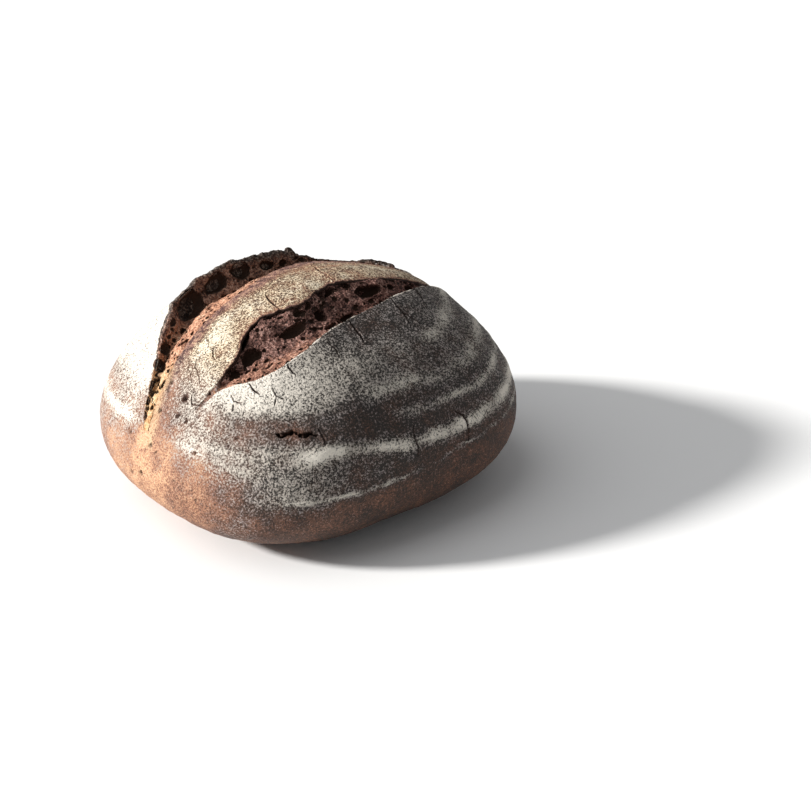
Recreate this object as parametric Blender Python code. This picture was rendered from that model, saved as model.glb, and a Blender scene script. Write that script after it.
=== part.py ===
"""A round rye loaf with two lengthwise slashes, modelled as one solid.

X runs along the slashes, -Y is the front and +Z is up. The loaf stands on its flat base, with the
origin at the middle of the base of the box that holds it.
"""
import math

import bmesh
import bpy
import numpy as np
from mathutils import Matrix

MM = 0.001

# Driving sizes of the dome.
HALF_LENGTH = 122.5 * MM
HALF_WIDTH = 109.8 * MM
HEIGHT = 124.7 * MM
GIRTH_HEIGHT = 43.1 * MM
UNDERSIDE_DEPTH = 50.9 * MM
BASE_EDGE_RADIUS = 4 * MM

# Where the dome's middle stands, so that the loaf's box is centred on the origin.
CENTRE_X = -7.33 * MM
CENTRE_Y = -7.64 * MM

# How full each outline of the dome is: 2 is an ellipse, and more is squarer.
PLAN_FULLNESS = 2.41
CROWN_FULLNESS = 1.873
UNDERSIDE_FULLNESS = 2.436

# How unevenly the dough spread, as shares of the radius, and the crown's lean per metre of height.
SPREAD_RIGHT = 0.0446
SPREAD_BACK = 0.0497
SPREAD_THREEFOLD = 0.0158
SPREAD_TWISTED = -0.02
LEAN_RIGHT = 0.0526
LEAN_BACK = 0.0426

# The edges of the two slashes seen from above, as (x, y) in millimetres from the dome's middle.
FRONT_LIP = [(-98, -24.5), (-84, -28.5), (-76, -33.5), (-66, -41.5), (-56, -45), (-36, -45.3),
             (-18, -41.2), (0, -37.6), (37, -31.3), (58, -26), (79, -19), (98, -13)]
STRIP_FRONT = [(-98, -22), (-84, -25), (-72, -23.5), (-62, -20.5), (-54, -13.5), (-46, -9.7),
               (-38, -8.3), (-27, -12), (-12, -15.5), (1, -10), (12, -7.5), (36, -11),
               (56, -11), (78, -12), (98, -10)]
STRIP_BACK = [(-109, 2), (-96, 7.6), (-84, 12.5), (-70, 16.8), (-48, 21.7), (-20, 25), (0, 29),
              (16, 33), (32, 35.5), (48, 33), (64, 27), (78, 19), (90, 9)]
EAR_LIP = [(-109.3, 5.3), (-103, 10.4), (-96.5, 14.8), (-85, 23.7), (-76.3, 32.5), (-68.5, 39.7), (-60.3, 47),
           (-49.5, 52.2), (-34, 55.5), (-12, 56.5), (12, 55.5), (30, 52), (46, 46), (62, 37), (74, 27), (90, 13)]

# Depths and heights along the slashes, as (x, size) in millimetres.
FRONT_DEPTH = [(-104, 0), (-90, 2.5), (-72, 6), (-50, 9), (-10, 9), (30, 8), (60, 6), (84, 3), (102, 0)]
BACK_DEPTH = [(-114, 0), (-104, 3.5), (-84, 8), (-55, 12), (-20, 13), (25, 12), (55, 8), (76, 4), (92, 0)]
LIP_HEIGHT = [(-98, 0), (-72, 0.8), (40, 1), (74, 2.4), (94, 2.6), (110, 0)]
STRIP_HEIGHT = [(-108, 0), (-84, 1.2), (20, 1.6), (60, 1.6), (84, 2.6), (102, 0)]
EAR_HEIGHT = [(-118, 0), (-108, 1), (-96, 2.2), (-78, 3.6), (-60, 5.2), (-40, 6.2), (-20, 7.2),
              (8, 6.9), (28, 6.2), (37, 2.5), (47, 0.4), (61, 0.6), (72, 3.5), (84, 4.4), (95, 2.4), (105, 0)]

# Cross-sections of the slashes from front to back, as (share of the width, share of the depth or height).
FRONT_SECTION = [(0.02, -0.15), (0.08, -0.42), (0.22, -0.68), (0.4, -0.8), (0.58, -0.74),
                 (0.74, -0.58), (0.88, -0.38), (0.97, -0.2), (0.99, -0.1)]
BACK_SECTION = [(0.1, -0.08), (0.26, -0.16), (0.42, -0.3), (0.58, -0.5), (0.76, -0.72),
                (0.9, -0.66), (0.96, -0.2)]
EAR_SECTION = [(0.97, 0.45), (0.985, 0.92)]

# The largest bubbles torn open under the ear, as (x, half length) in millimetres. Each hollows the rows of
# the back section by these shares of the slash's width.
BUBBLES = [(-86, 10), (-49, 18), (-21, 17)]
BUBBLE_REACH = [0, 0, 0, 0.03, 0.1, 0.18, 0.12]

# The along angle past which the rows spread evenly around the pole.
SLASH_END = math.radians(80)

# The rise of the crust beside a slash: how high the strip's edges stand beside its middle, and the share
# of the front flap and of the back flap over which the lip and the ear die away.
STRIP_EDGE_SHARE = 0.45
LIP_SHARE = 0.15
EAR_SHARE = 0.07

# How finely the solid is divided, and how the rows of the flaps crowd towards the slashes.
RINGS = 64
FLAP_ROWS = 23
STRIP_ROWS = 7
BACK_ROWS = 25
FLAP_CROWDING = 0.85
BACK_CROWDING = 1.5
ROWS = FLAP_ROWS + len(FRONT_SECTION) + STRIP_ROWS + len(BACK_SECTION) + len(EAR_SECTION) + BACK_ROWS

CRUST_COLOUR = (0.13, 0.075, 0.048, 1)
CRUST_ROUGHNESS = 0.85


def curve_through(points, where):
    """The smooth curve through the given points, read at each place."""
    xs = np.array([p[0] for p in points], float)
    ys = np.array([p[1] for p in points], float)
    slopes = np.gradient(ys, xs)
    cell = np.clip(np.searchsorted(xs, where) - 1, 0, len(xs) - 2)
    width = xs[cell + 1] - xs[cell]
    t = np.clip((where - xs[cell]) / width, 0, 1)
    rise = ys[cell] * (1 + 2 * t) * (1 - t) ** 2 + ys[cell + 1] * t * t * (3 - 2 * t)
    bend = slopes[cell] * t * (1 - t) ** 2 - slopes[cell + 1] * t * t * (1 - t)
    return rise + bend * width


def ease(t):
    """A step from 0 to 1 with level ends."""
    t = np.clip(t, 0, 1)
    return t * t * (3 - 2 * t)


def bulge(t):
    """A smooth hump between -1 and 1."""
    return np.clip(1 - t * t, 0, 1) ** 2


def reach(x, y, z):
    """How far the dome's skin is from its middle, in the direction given."""
    size = np.sqrt(x * x + y * y + z * z)
    x, y, z = x / size, y / size, z / size
    up = z >= 0
    rise = np.where(up, HEIGHT - GIRTH_HEIGHT, UNDERSIDE_DEPTH)
    fullness = np.where(up, CROWN_FULLNESS, UNDERSIDE_FULLNESS)
    plan = np.abs(x / HALF_LENGTH) ** PLAN_FULLNESS + np.abs(y / HALF_WIDTH) ** PLAN_FULLNESS
    plan = plan ** (1 / PLAN_FULLNESS)
    radius = (plan ** fullness + np.abs(z / rise) ** fullness) ** (-1 / fullness)
    turn = np.arctan2(y, x)
    spread = SPREAD_RIGHT * np.cos(turn) + SPREAD_BACK * np.sin(turn)
    spread = spread + SPREAD_THREEFOLD * np.cos(3 * turn) + SPREAD_TWISTED * np.sin(3 * turn)
    return radius * (1 + np.hypot(x, y) * spread)


def skin(along, around):
    """The dome's skin: along turns from the -X end to the +X end, around from below over the front."""
    x = np.sin(along)
    y = np.cos(along) * np.sin(around)
    z = np.cos(along) * np.cos(around)
    radius = reach(x, y, z)
    x, y, z = x * radius, y * radius, z * radius
    x = x + LEAN_RIGHT * z
    y = y + LEAN_BACK * z
    z = z + GIRTH_HEIGHT
    edge_curve = (z + BASE_EDGE_RADIUS) ** 2 / (4 * BASE_EDGE_RADIUS)
    z = np.where(z > BASE_EDGE_RADIUS, z, np.where(z < -BASE_EDGE_RADIUS, 0.0, edge_curve))
    return np.stack([x, y, z], -1)


def outward(along, around):
    """The direction straight out of the skin."""
    step = 1e-4
    forward = skin(along + step, around) - skin(along - step, around)
    across = skin(along, around + step) - skin(along, around - step)
    normal = np.cross(forward, across)
    return normal / np.maximum(np.linalg.norm(normal, axis=-1, keepdims=True), 1e-12)


def angles_above(x, y):
    """The along and around angles of the skin above a place in the plan, found by halving."""
    low = np.zeros_like(x)
    high = np.full_like(x, HEIGHT)
    for _ in range(40):
        z = (low + high) / 2
        across_x = x - LEAN_RIGHT * z
        across_y = y - LEAN_BACK * z
        inside = np.sqrt(across_x ** 2 + across_y ** 2 + z * z) < reach(across_x, across_y, z)
        low = np.where(inside, z, low)
        high = np.where(inside, high, z)
    return np.arctan2(across_x, np.hypot(across_y, z)), np.arctan2(across_y, z)


def edge(points, along):
    """The around angle of a slash's edge at each along angle."""
    plan = np.array(points, float) * MM
    at, turn = angles_above(plan[:, 0], plan[:, 1])
    return curve_through(list(zip(at, turn)), along)


def between(front, back, share):
    """The angle at a share of the way from the front edge to the back edge."""
    return front + (back - front) * share


def rows_on(along):
    """The around angle, and the height off the skin, of each row's points on every ring."""
    front_lip = edge(FRONT_LIP, along)
    strip_front = edge(STRIP_FRONT, along)
    strip_back = edge(STRIP_BACK, along)
    ear_lip = edge(EAR_LIP, along)
    front_x = skin(along, between(front_lip, strip_front, 0.5))[:, 0] / MM
    back_x = skin(along, between(strip_back, ear_lip, 0.5))[:, 0] / MM
    front_depth = curve_through(FRONT_DEPTH, front_x) * MM
    back_depth = curve_through(BACK_DEPTH, back_x) * MM
    lip = curve_through(LIP_HEIGHT, front_x) * MM
    strip = curve_through(STRIP_HEIGHT, front_x) * MM
    ear = curve_through(EAR_HEIGHT, back_x) * MM
    rows = []
    for step in range(FLAP_ROWS):
        share = (step / (FLAP_ROWS - 1)) ** FLAP_CROWDING
        near = ease((share - 1 + LIP_SHARE) / LIP_SHARE)
        rows.append((between(-math.pi, front_lip, share), lip * near))
    for share, level in FRONT_SECTION:
        rows.append((between(front_lip, strip_front, share), front_depth * level))
    for step in range(STRIP_ROWS):
        share = step / (STRIP_ROWS - 1)
        dome = STRIP_EDGE_SHARE + (1 - STRIP_EDGE_SHARE) * math.sin(math.pi * share)
        rows.append((between(strip_front, strip_back, share), strip * dome))
    hollow = sum(bulge((back_x - x) / half_length) for x, half_length in BUBBLES)
    for (share, level), reach_back in zip(BACK_SECTION, BUBBLE_REACH):
        rows.append((between(strip_back, ear_lip, share + reach_back * hollow), back_depth * level))
    for share, level in EAR_SECTION:
        rows.append((between(strip_back, ear_lip, share), ear * level))
    for step in range(BACK_ROWS):
        share = (step / BACK_ROWS) ** BACK_CROWDING
        rows.append((between(ear_lip, math.pi, share), ear * (1 - ease(share / EAR_SHARE))))
    turns = np.array([turn for turn, height in rows])
    heights = np.array([height for turn, height in rows])
    even = np.linspace(-math.pi, math.pi, ROWS, endpoint=False)[:, None]
    past_slashes = ease((np.abs(along) - SLASH_END) / (math.pi / 2 - SLASH_END))
    return between(turns, even, past_slashes), heights


def shape_loaf(bm):
    """Moves each point of a sphere, whose poles are on X, to its row and ring on the loaf."""
    ring_angles = math.pi * (np.arange(RINGS + 1) / RINGS - 0.5)
    turns, heights = rows_on(ring_angles)
    sphere = np.array([vertex.co for vertex in bm.verts], float)
    along = np.arcsin(np.clip(sphere[:, 0], -1, 1))
    around = np.arctan2(sphere[:, 1], sphere[:, 2])
    ring = np.rint((along / math.pi + 0.5) * RINGS).astype(int)
    row = np.rint((around / math.pi + 1) / 2 * ROWS).astype(int) % ROWS
    angle = ring_angles[ring]
    turn = turns[row, ring]
    shaped = skin(angle, turn) + outward(angle, turn) * heights[row, ring][:, None]
    shaped += np.array([CENTRE_X, CENTRE_Y, 0.0])
    for vertex, place in zip(bm.verts, shaped):
        vertex.co = place


def crust_material():
    """Dark baked rye crust."""
    material = bpy.data.materials.new("rye_crust")
    material.use_nodes = True
    shader = material.node_tree.nodes["Principled BSDF"]
    shader.inputs["Base Color"].default_value = CRUST_COLOUR
    shader.inputs["Roughness"].default_value = CRUST_ROUGHNESS
    shader.inputs["Metallic"].default_value = 0.0
    return material


def make_loaf():
    """The whole loaf as one closed solid."""
    bm = bmesh.new()
    poles_on_x = Matrix.Rotation(math.pi / 2, 4, "Y")
    bmesh.ops.create_uvsphere(bm, u_segments=ROWS, v_segments=RINGS, radius=1.0, matrix=poles_on_x)
    shape_loaf(bm)
    bmesh.ops.recalc_face_normals(bm, faces=bm.faces)
    mesh = bpy.data.meshes.new("loaf")
    bm.to_mesh(mesh)
    bm.free()
    mesh.materials.append(crust_material())
    mesh.shade_smooth()
    return bpy.data.objects.new("loaf", mesh)


def main():
    for leftover in list(bpy.data.objects):
        bpy.data.objects.remove(leftover, do_unlink=True)
    collection = bpy.data.collections.new("rye_bread_loaf")
    bpy.context.scene.collection.children.link(collection)
    collection.objects.link(make_loaf())


main()
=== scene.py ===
"""The looks of a round rye loaf: dark crust dusted with flour, torn crumb in two slashes, and a ragged ear.

X runs along the slashes, -Y is the front and +Z is up. Lists of places and sizes are in millimetres from the
dome's middle, as (x, size) or (x, y), unless their comment says otherwise.
"""
import math

import bmesh
import bpy
import numpy as np
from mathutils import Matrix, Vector, noise


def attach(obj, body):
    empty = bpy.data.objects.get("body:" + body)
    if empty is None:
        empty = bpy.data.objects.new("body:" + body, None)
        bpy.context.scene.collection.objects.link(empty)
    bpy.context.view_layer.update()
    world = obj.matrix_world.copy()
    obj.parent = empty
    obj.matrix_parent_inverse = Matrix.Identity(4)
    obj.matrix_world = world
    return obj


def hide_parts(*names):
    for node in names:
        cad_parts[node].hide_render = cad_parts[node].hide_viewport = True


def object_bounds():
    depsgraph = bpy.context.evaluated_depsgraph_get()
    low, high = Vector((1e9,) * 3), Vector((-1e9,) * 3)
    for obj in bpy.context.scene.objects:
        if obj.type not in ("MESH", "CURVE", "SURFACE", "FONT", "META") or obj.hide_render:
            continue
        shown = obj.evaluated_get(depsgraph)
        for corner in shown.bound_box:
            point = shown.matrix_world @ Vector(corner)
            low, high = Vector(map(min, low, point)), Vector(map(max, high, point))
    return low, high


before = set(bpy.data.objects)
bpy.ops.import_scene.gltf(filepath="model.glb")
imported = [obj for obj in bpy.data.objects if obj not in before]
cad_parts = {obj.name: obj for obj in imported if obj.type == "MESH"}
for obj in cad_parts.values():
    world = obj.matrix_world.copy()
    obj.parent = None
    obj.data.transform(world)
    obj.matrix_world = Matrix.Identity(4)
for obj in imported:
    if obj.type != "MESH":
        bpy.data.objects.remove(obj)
cad_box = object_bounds()

MM = 0.001

# ---------------------------------------------------------------- the dome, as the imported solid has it
HALF_LENGTH = 122.5 * MM
HALF_WIDTH = 109.8 * MM
HEIGHT = 124.7 * MM
GIRTH_HEIGHT = 43.1 * MM
UNDERSIDE_DEPTH = 50.9 * MM
BASE_EDGE_RADIUS = 4 * MM
CENTRE = np.array([-7.33, -7.64, 0.0]) * MM
PLAN_FULLNESS = 2.41
CROWN_FULLNESS = 1.873
UNDERSIDE_FULLNESS = 2.436
SPREAD_RIGHT = 0.0446
SPREAD_BACK = 0.0497
SPREAD_THREEFOLD = 0.0158
SPREAD_TWISTED = -0.02
LEAN_RIGHT = 0.0526
LEAN_BACK = 0.0426

# The edges of the two slashes seen from above.
FRONT_LIP = [(-98, -24.5), (-84, -28.5), (-76, -33.5), (-66, -41.5), (-56, -45), (-36, -45.3),
             (-18, -41.2), (0, -37.6), (37, -31.3), (58, -26), (79, -19), (98, -13)]
STRIP_FRONT = [(-98, -22), (-84, -25), (-72, -23.5), (-62, -20.5), (-54, -13.5), (-46, -9.7),
               (-38, -8.3), (-27, -12), (-12, -15.5), (1, -10), (12, -7.5), (36, -11),
               (56, -11), (78, -12), (98, -10)]
STRIP_BACK = [(-109, 2), (-96, 7.6), (-84, 12.5), (-70, 16.8), (-48, 21.7), (-20, 25), (0, 29),
              (16, 33), (32, 35.5), (48, 33), (64, 27), (78, 19), (90, 9)]
EAR_LIP = [(-109.3, 5.3), (-103, 10.4), (-96.5, 14.8), (-85, 23.7), (-76.3, 32.2), (-67.7, 38.6), (-58.8, 45.4),
           (-49.5, 52.2), (-34, 55.5), (-12, 56.5), (12, 55.5), (30, 52), (46, 46), (62, 37), (74, 27), (90, 13)]

# Depths and heights along the slashes.
FRONT_DEPTH = [(-104, 0), (-90, 2.5), (-72, 6), (-50, 9), (-10, 9), (30, 8), (60, 6), (84, 3), (102, 0)]
BACK_DEPTH = [(-114, 0), (-104, 3.5), (-84, 8), (-55, 12), (-20, 13), (25, 12), (55, 8), (76, 4), (92, 0)]
LIP_HEIGHT = [(-98, 0), (-72, 0.8), (40, 1), (74, 2.4), (94, 2.6), (110, 0)]
STRIP_HEIGHT = [(-108, 0), (-84, 1.2), (20, 1.6), (60, 1.6), (84, 2.6), (102, 0)]
EAR_HEIGHT = [(-118, 0), (-108, 1), (-96, 2.2), (-78, 3.6), (-60, 5.2), (-40, 6.2), (-20, 7.2),
              (8, 6.9), (28, 6.2), (37, 2.5), (47, 0.4), (61, 0.6), (72, 3.5), (84, 4.4), (95, 2.4), (105, 0)]
STRIP_EDGE_SHARE = 0.45
LIP_SHARE = 0.15
EAR_SHARE = 0.07
SLASH_END = math.radians(80)

# ---------------------------------------------------------------- how the crust is divided
RINGS = 300
UNDER_ROWS = 14
FLAP_ROWS = 104
STRIP_ROWS = 52
BACK_ROWS = 82
BELOW = math.radians(-118)
FLAP_CROWDING = 0.9
BACK_CROWDING = 1.25
RIM_COVER = 1.3 * MM
# Peaks of the ear's ragged rim, as (x, half width, height).
RIM_PEAKS = [(29, 2.2, 2.6), (-8, 3, 1.0), (-30, 4, 0.8), (-52, 3, 0.8), (72, 3, 0.8)]
# The trench of each slash, hidden under its crumb, as (share of the width, depth off the skin in mm, share of the
# ear's height).
FRONT_TRENCH = [(-0.005, 1.2, 0), (-0.04, 4, 0), (-0.06, 34, 0), (0.5, 36, 0), (1.3, 34, 0), (1.34, 8, 0),
                (1.2, 3.6, 0), (1.02, 2.4, 0), (0.995, 0.9, 0)]
BACK_TRENCH = [(0.01, 1.0, 0), (-0.1, 4, 0), (-0.16, 36, 0), (0.4, 38, 0), (1.3, 36, 0), (1.75, 24, 0),
               (1.6, 4, 0), (1.35, 2.5, 0.1), (1.12, 2.6, 0.7)]
# Where each slash has closed at its low end, and over how many millimetres it opens.
FRONT_CLOSED_AT = -82
FRONT_OPENS_OVER = 8
BACK_CLOSED_AT = -108
BACK_OPENS_OVER = 6
# How far the crust's torn edges wander.
RAGGED = 0.006

# ---------------------------------------------------------------- the crumb
CRUMB_RINGS = 520
CRUMB_ROWS = 150
CRUMB_UNDER_ROWS = 8
CRUMB_THICKNESS = 17 * MM
# Sections from front to back at some places along the slash, as (share of the width, share of the depth, share of
# the ear's height).
FRONT_CRUMB = {
    -70: [(-0.04, -0.2, 0), (0.02, -0.12, 0), (0.12, -0.2, 0), (0.28, -0.34, 0), (0.46, -0.52, 0),
          (0.64, -0.72, 0), (0.8, -0.6, 0), (0.94, -0.4, 0), (1.04, -0.36, 0), (1.08, -0.3, 0)],
    -35: [(-0.04, -0.2, 0), (0.02, -0.14, 0), (0.1, -0.34, 0), (0.24, -0.6, 0), (0.42, -0.74, 0),
          (0.6, -0.66, 0), (0.76, -0.5, 0), (0.9, -0.34, 0), (1.0, -0.22, 0), (1.05, -0.2, 0)],
    5: [(-0.04, -0.25, 0), (0.015, -0.3, 0), (0.08, -0.7, 0), (0.22, -0.9, 0), (0.4, -0.85, 0),
        (0.57, -0.7, 0), (0.73, -0.5, 0), (0.87, -0.3, 0), (0.98, -0.14, 0), (1.04, -0.12, 0)],
}
BACK_CRUMB = {
    -98: [(-0.05, -0.2, 0), (0.02, -0.03, 0), (0.16, 0, 0), (0.34, -0.02, 0), (0.52, -0.06, 0),
          (0.7, -0.12, 0), (0.86, -0.16, 0), (0.95, -0.1, 0), (0.965, 0, 0.1), (0.968, 0, 0.4),
          (0.985, 0, 0.7), (1.02, 0, 0.8), (1.07, 0, 0.8), (1.13, 0, 0.75), (1.17, 0, 0.6)],
    -60: [(-0.05, -0.2, 0), (0.02, -0.06, 0), (0.16, -0.07, 0), (0.34, -0.13, 0), (0.52, -0.24, 0),
          (0.7, -0.42, 0), (0.86, -0.6, 0), (0.95, -0.4, 0), (0.965, 0, 0.1), (0.968, 0, 0.6),
          (0.985, 0, 0.93), (1.02, 0, 1.02), (1.07, 0, 0.98), (1.13, 0, 0.85), (1.17, 0, 0.6)],
    -10: [(-0.05, -0.2, 0), (0.02, -0.06, 0), (0.14, -0.12, 0), (0.3, -0.24, 0), (0.48, -0.46, 0),
          (0.66, -0.72, 0), (0.84, -0.78, 0), (0.94, -0.45, 0), (0.965, 0, 0.1), (0.968, 0, 0.6),
          (0.985, 0, 0.93), (1.02, 0, 1.02), (1.07, 0, 0.98), (1.13, 0, 0.85), (1.17, 0, 0.6)],
}


def curve_through(points, where):
    """The smooth curve through the given points, read at each place."""
    xs = np.array([p[0] for p in points], float)
    ys = np.array([p[1] for p in points], float)
    slopes = np.gradient(ys, xs)
    cell = np.clip(np.searchsorted(xs, where) - 1, 0, len(xs) - 2)
    width = xs[cell + 1] - xs[cell]
    t = np.clip((where - xs[cell]) / width, 0, 1)
    rise = ys[cell] * (1 + 2 * t) * (1 - t) ** 2 + ys[cell + 1] * t * t * (3 - 2 * t)
    bend = slopes[cell] * t * (1 - t) ** 2 - slopes[cell + 1] * t * t * (1 - t)
    return rise + bend * width


def ease(t):
    """A step from 0 to 1 with level ends."""
    t = np.clip(t, 0, 1)
    return t * t * (3 - 2 * t)


def reach(x, y, z):
    """How far the dome's skin is from its middle, in the direction given."""
    size = np.sqrt(x * x + y * y + z * z)
    x, y, z = x / size, y / size, z / size
    up = z >= 0
    rise = np.where(up, HEIGHT - GIRTH_HEIGHT, UNDERSIDE_DEPTH)
    fullness = np.where(up, CROWN_FULLNESS, UNDERSIDE_FULLNESS)
    plan = np.abs(x / HALF_LENGTH) ** PLAN_FULLNESS + np.abs(y / HALF_WIDTH) ** PLAN_FULLNESS
    plan = plan ** (1 / PLAN_FULLNESS)
    radius = (plan ** fullness + np.abs(z / rise) ** fullness) ** (-1 / fullness)
    turn = np.arctan2(y, x)
    spread = SPREAD_RIGHT * np.cos(turn) + SPREAD_BACK * np.sin(turn)
    spread = spread + SPREAD_THREEFOLD * np.cos(3 * turn) + SPREAD_TWISTED * np.sin(3 * turn)
    return radius * (1 + np.hypot(x, y) * spread)


def skin(along, around):
    """The dome's skin: along turns from the -X end to the +X end, around from below over the front."""
    x = np.sin(along)
    y = np.cos(along) * np.sin(around)
    z = np.cos(along) * np.cos(around)
    radius = reach(x, y, z)
    x, y, z = x * radius, y * radius, z * radius
    x = x + LEAN_RIGHT * z
    y = y + LEAN_BACK * z
    z = z + GIRTH_HEIGHT
    edge_curve = (z + BASE_EDGE_RADIUS) ** 2 / (4 * BASE_EDGE_RADIUS)
    z = np.where(z > BASE_EDGE_RADIUS, z, np.where(z < -BASE_EDGE_RADIUS, 0.0, edge_curve))
    return np.stack([x, y, z], -1)


def outward(along, around):
    """The direction straight out of the skin."""
    step = 1e-4
    forward = skin(along + step, around) - skin(along - step, around)
    across = skin(along, around + step) - skin(along, around - step)
    normal = np.cross(forward, across)
    return normal / np.maximum(np.linalg.norm(normal, axis=-1, keepdims=True), 1e-12)


def angles_above(x, y):
    """The along and around angles of the skin above a place in the plan, found by halving."""
    low = np.zeros_like(x)
    high = np.full_like(x, HEIGHT)
    for _ in range(40):
        z = (low + high) / 2
        across_x = x - LEAN_RIGHT * z
        across_y = y - LEAN_BACK * z
        inside = np.sqrt(across_x ** 2 + across_y ** 2 + z * z) < reach(across_x, across_y, z)
        low = np.where(inside, z, low)
        high = np.where(inside, high, z)
    return np.arctan2(across_x, np.hypot(across_y, z)), np.arctan2(across_y, z)


def edge(points, along):
    """The around angle of a slash's edge at each along angle."""
    plan = np.array(points, float) * MM
    at, turn = angles_above(plan[:, 0], plan[:, 1])
    return curve_through(list(zip(at, turn)), along)


def between(front, back, share):
    """The value at a share of the way from front to back."""
    return front + (back - front) * share


def on_skin(points):
    """Places in the loaf's frame on the crust above each (x, y) of a list."""
    plan = np.array(points, float) * MM
    along, around = angles_above(plan[:, 0], plan[:, 1])
    return skin(along, around) + CENTRE


def on_side(points):
    """Places in the loaf's frame on the crust at each (bearing in degrees, height) of a list."""
    found = []
    for bearing, height in points:
        turn = math.radians(bearing)
        away = np.linspace(40, 140, 1001) * MM
        z = np.full_like(away, height * MM - GIRTH_HEIGHT)
        x = np.sin(turn) * away - CENTRE[0] - LEAN_RIGHT * z
        y = -np.cos(turn) * away - CENTRE[1] - LEAN_BACK * z
        outside = np.sqrt(x * x + y * y + z * z) > reach(x, y, z)
        place = away[np.argmax(outside)]
        found.append((np.sin(turn) * place, -np.cos(turn) * place, height * MM))
    return np.array(found)


def bearing_of(places):
    """The compass bearing of each place in degrees: 0 is the front, -90 the -X end and 90 the +X end."""
    return np.degrees(np.arctan2(places[:, 0], -places[:, 1]))


def lumps(places, size, seed, octaves=1):
    """Smooth noise of about -1 to 1, in lumps of about the given size."""
    shift = Vector((seed * 17.3, seed * 5.1, seed * 9.7))
    return np.array([noise.fractal(Vector(place) / size + shift, 1.0, 2.0, octaves) for place in places])


def cells(places, size, seed):
    """The distance to the middle of the nearest of many cells of the given size: 0 in the middle, about 0.6 at a wall."""
    shift = Vector((seed * 7.3, seed * 15.1, seed * 3.7))
    return np.array([noise.voronoi(Vector(place) / size + shift)[0][0] for place in places])


def walls(places, size, seed):
    """1 on the walls between cells of the given size, falling to 0 inside them."""
    shift = Vector((seed * 7.3, seed * 15.1, seed * 3.7))
    found = []
    for place in places:
        near = noise.voronoi(Vector(place) / size + shift)[0]
        found.append(near[1] - near[0])
    return np.clip(1 - 2.5 * np.array(found), 0, 1)


# ---------------------------------------------------------------- meshes


def tube(rings, rows, places, values):
    """A closed tube whose ends come to a point, from places[rows, rings]. Values become attributes by name."""
    bm = bmesh.new()
    bmesh.ops.create_grid(bm, x_segments=rings, y_segments=rows, size=1)
    layers = {name: bm.verts.layers.float.new(name) for name in values}
    flat = np.concatenate([places, places[:1]]).reshape(-1, 3)
    spread = {name: np.concatenate([value, value[:1]]).ravel() for name, value in values.items()}
    for index, vertex in enumerate(bm.verts):
        vertex.co = flat[index]
        for name, layer in layers.items():
            vertex[layer] = spread[name][index]
    bmesh.ops.remove_doubles(bm, verts=bm.verts, dist=1e-6)
    bmesh.ops.recalc_face_normals(bm, faces=bm.faces)
    bm.normal_update()
    return bm


def read_verts(bm):
    """Every vertex's place and outward direction."""
    places = np.array([vertex.co for vertex in bm.verts], float)
    normals = np.array([vertex.normal for vertex in bm.verts], float)
    return places, normals


def read_layer(bm, name):
    """One attribute of every vertex."""
    layer = bm.verts.layers.float[name]
    return np.array([vertex[layer] for vertex in bm.verts], float)


def write_layer(bm, name, values):
    """Sets one attribute of every vertex."""
    layer = bm.verts.layers.float.get(name) or bm.verts.layers.float.new(name)
    for vertex, value in zip(bm.verts, values):
        vertex[layer] = value


def write_verts(bm, places):
    """Moves every vertex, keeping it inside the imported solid's box."""
    low = np.array(cad_box[0]) + 1e-5
    high = np.array(cad_box[1]) - 1e-5
    low[2] = cad_box[0][2]
    for vertex, place in zip(bm.verts, np.clip(places, low, high)):
        vertex.co = place
    bm.normal_update()


def finish_piece(bm, name, material):
    """The finished piece, riding on the loaf's one body."""
    mesh = bpy.data.meshes.new(name)
    bm.to_mesh(mesh)
    bm.free()
    mesh.materials.append(material)
    mesh.shade_smooth()
    piece = bpy.data.objects.new(name, mesh)
    bpy.context.scene.collection.objects.link(piece)
    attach(piece, "root")
    return piece


def from_line(places, line):
    """How far each place is from a line through the given points, and how far along it the nearest point is."""
    best = np.full(len(places), 1e3)
    share = np.zeros(len(places))
    for index in range(len(line) - 1):
        start, step = line[index], line[index + 1] - line[index]
        t = np.clip((places - start) @ step / (step @ step), 0, 1)
        away = np.linalg.norm(places - start - t[:, None] * step, axis=1)
        share = np.where(away < best, (index + t) / (len(line) - 1), share)
        best = np.minimum(best, away)
    return best, share


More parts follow.
